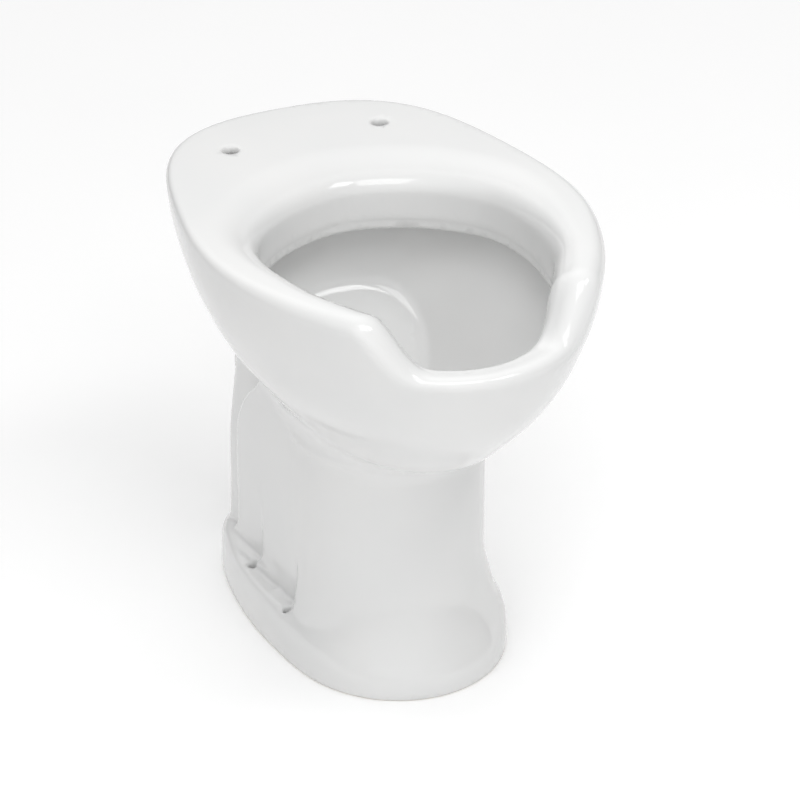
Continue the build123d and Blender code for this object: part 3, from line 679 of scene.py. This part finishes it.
world = bpy.data.worlds.new("studio")
scene.world = world
world.use_nodes = True
sky, sky_links = world.node_tree.nodes, world.node_tree.links
way = sky.new("ShaderNodeVectorMath")
way.operation = "NORMALIZE"
sky_links.new(sky.new("ShaderNodeTexCoord").outputs["Generated"], way.inputs[0])
total = None
for az, el, sharp, glow in LOBES:
    az, el = math.radians(az), math.radians(el)
    toward = sky.new("ShaderNodeVectorMath")
    toward.operation = "DOT_PRODUCT"
    toward.inputs[1].default_value = (math.sin(az) * math.cos(el), -math.cos(az) * math.cos(el), math.sin(el))
    sky_links.new(way.outputs["Vector"], toward.inputs[0])
    facing_it = sky.new("ShaderNodeMath")
    facing_it.operation = "MAXIMUM"
    facing_it.inputs[1].default_value = 0.0
    sky_links.new(toward.outputs["Value"], facing_it.inputs[0])
    power = sky.new("ShaderNodeMath")
    power.operation = "POWER"
    power.inputs[1].default_value = sharp
    sky_links.new(facing_it.outputs[0], power.inputs[0])
    add = sky.new("ShaderNodeMath")
    add.operation = "MULTIPLY_ADD"
    add.inputs[1].default_value = glow
    add.inputs[2].default_value = AMBIENT
    sky_links.new(power.outputs[0], add.inputs[0])
    if total:
        sky_links.new(total, add.inputs[2])
    total = add.outputs[0]
sky_links.new(total, sky["Background"].inputs["Strength"])
sky["Background"].inputs["Color"].default_value = (1.0, 1.0, 1.0, 1.0)


def area(name, place, aim, width, height, glow):
    """A rectangular light of that radiance."""
    data = bpy.data.lights.new(name, "AREA")
    data.shape = "RECTANGLE"
    data.size, data.size_y = width, height
    data.energy = glow * math.pi * width * height
    obj = bpy.data.objects.new(name, data)
    scene.collection.objects.link(obj)
    obj.location = place
    obj.rotation_euler = (Vector(aim) - Vector(place)).to_track_quat("-Z", "Y").to_euler()
    return obj


# a soft box over the front lip
area("over_front", (-0.08, -0.62, 1.35), (-0.02, -0.22, 0.43), 0.55, 0.55, 3.4)
# a window of four panes, seen small in the glaze
target, centre = Vector((0.0, 0.08, 0.40)), Vector((0.72, -0.86, 2.0))
facing = (target - centre).normalized()
across = facing.cross(Vector((0, 0, 1))).normalized()
for i in range(4):
    area("pane_%d" % i, centre + across * (i - 1.5) * 0.15, target + across * (i - 1.5) * 0.15, 0.13, 0.5, WINDOW_GLOW)

AZ, EL, ROLL = math.radians(-24.13), math.radians(28.30), math.radians(-0.35)
FOCAL_PX, CX, CY = 3393.0, 361.0, 377.0
cam_data = bpy.data.cameras.new("camera")
cam_data.sensor_width = 36.0
cam_data.lens = FOCAL_PX * 36.0 / 800.0
cam_data.shift_x = -(CX - 400.0) / 800.0
cam_data.shift_y = (CY - 400.0) / 800.0
cam_data.clip_end = 50.0
cam = bpy.data.objects.new("camera", cam_data)
scene.collection.objects.link(cam)
back = Vector((math.sin(AZ) * math.cos(EL), -math.cos(AZ) * math.cos(EL), math.sin(EL)))
right = Vector((math.cos(AZ), math.sin(AZ), 0.0))
up = back.cross(right)
turn = Matrix((right, up, back)).transposed() @ Matrix.Rotation(ROLL, 3, "Z")
cam.matrix_world = Matrix.Translation((-1.1633, -2.5441, 1.7823)) @ turn.to_4x4()
scene.camera = cam
